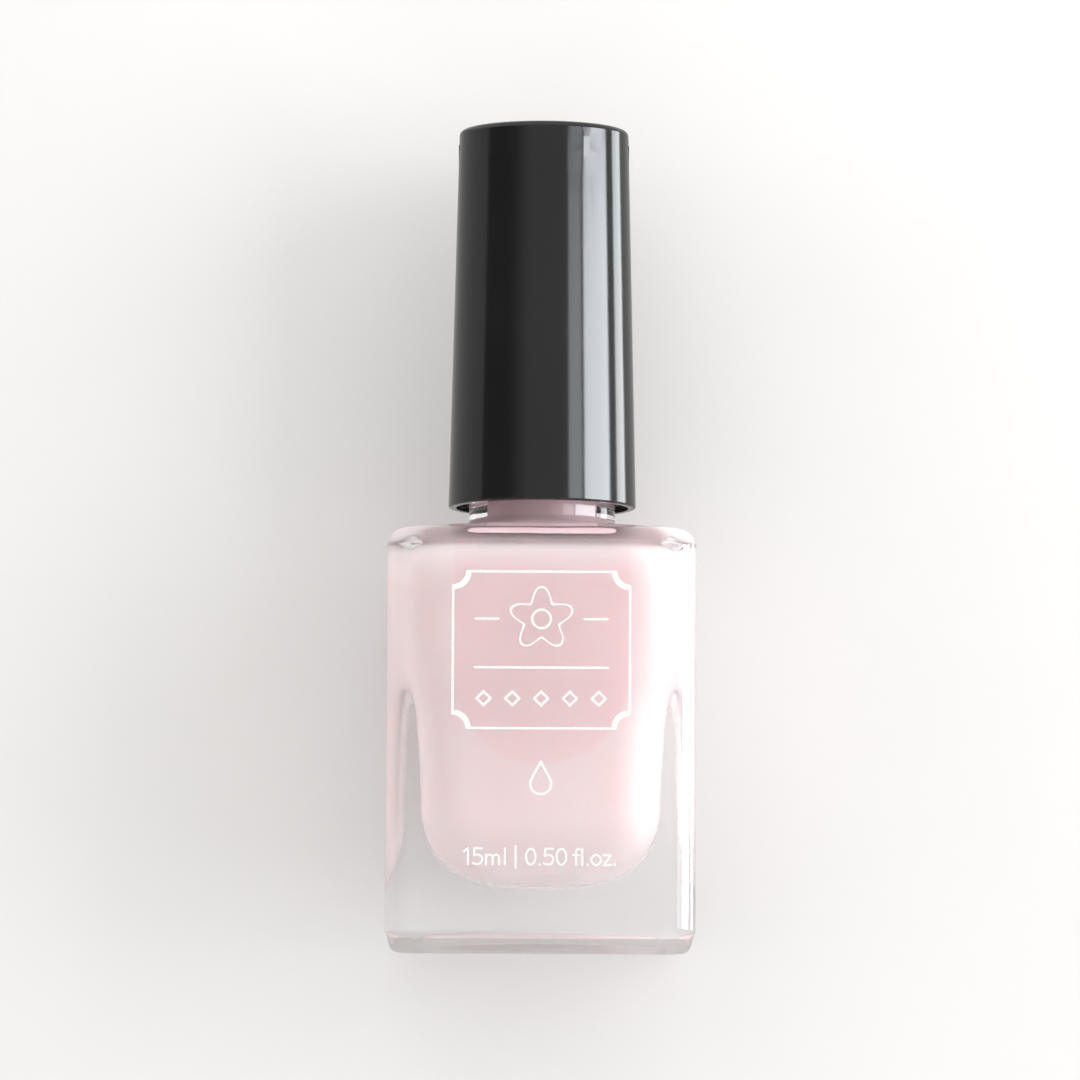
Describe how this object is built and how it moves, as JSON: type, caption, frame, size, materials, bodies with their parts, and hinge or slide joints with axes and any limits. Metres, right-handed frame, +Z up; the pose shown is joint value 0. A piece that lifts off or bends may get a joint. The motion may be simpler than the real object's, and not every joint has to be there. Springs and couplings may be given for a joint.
{
  "type": "nail polish bottle",
  "caption": "Square clear glass bottle of pink nail lacquer with a tall tapered black screw cap that carries the brush wand.",
  "frame": {"origin": "centre of the square resting face", "axes": "+Z up along the bottle and cap axis, -Y the printed front face, +X to the viewer's right when facing the print"},
  "size_m": [0.028, 0.028, 0.0751],
  "materials": {
    "clear_glass": "polished, clear",
    "pink_lacquer": "glossy, milky liquid",
    "polished_steel": "polished",
    "black_gloss": "high gloss",
    "black_moulded": "satin",
    "seal_liner": "soft satin",
    "dark_filament": "satin filaments",
    "anchor_metal": "drawn",
    "white_ink": "screen print"
  },
  "bodies": {
    "bottle": {"glass_bottle": "clear_glass", "lacquer": "pink_lacquer", "print_frame": "white_ink", "print_ornament": "white_ink", "print_drop": "white_ink", "print_volume": "white_ink"},
    "seal": {"seal_washer": "seal_liner"},
    "wand": {"brush_stem": "black_moulded", "brush_bristles": "dark_filament", "brush_staple": "anchor_metal"},
    "cap": {"inner_cap": "black_moulded", "outer_cap": "black_gloss"},
    "ball_left": {"mixing_ball_left": "polished_steel"},
    "ball_right": {"mixing_ball_right": "polished_steel"}
  },
  "joints": [
    {"name": "closure_lift", "type": "slide", "parent": "bottle", "child": "seal", "axis": [0, 0, 1], "range_m": [0, 0.05], "deforming": ["lacquer"]},
    {"name": "thread_rise", "type": "slide", "parent": "seal", "child": "wand", "axis": [0, 0, 1], "range_m": [0, 0.0043]},
    {"name": "cap_turn", "type": "hinge", "parent": "wand", "child": "cap", "pos_m": [0, 0, 0.045], "axis": [0, 0, 1], "range_deg": [0, 720]},
    {"name": "ball_left_shake", "type": "slide", "parent": "bottle", "child": "ball_left", "axis": [0, 0, 1], "range_m": [0, 0.025]},
    {"name": "ball_right_shake", "type": "slide", "parent": "bottle", "child": "ball_right", "axis": [0, 0, 1], "range_m": [0, 0.025]}
  ],
  "couplings": [
    {"joint": "thread_rise", "follows": "cap_turn", "m_per_rad": 0.00033693}
  ]
}
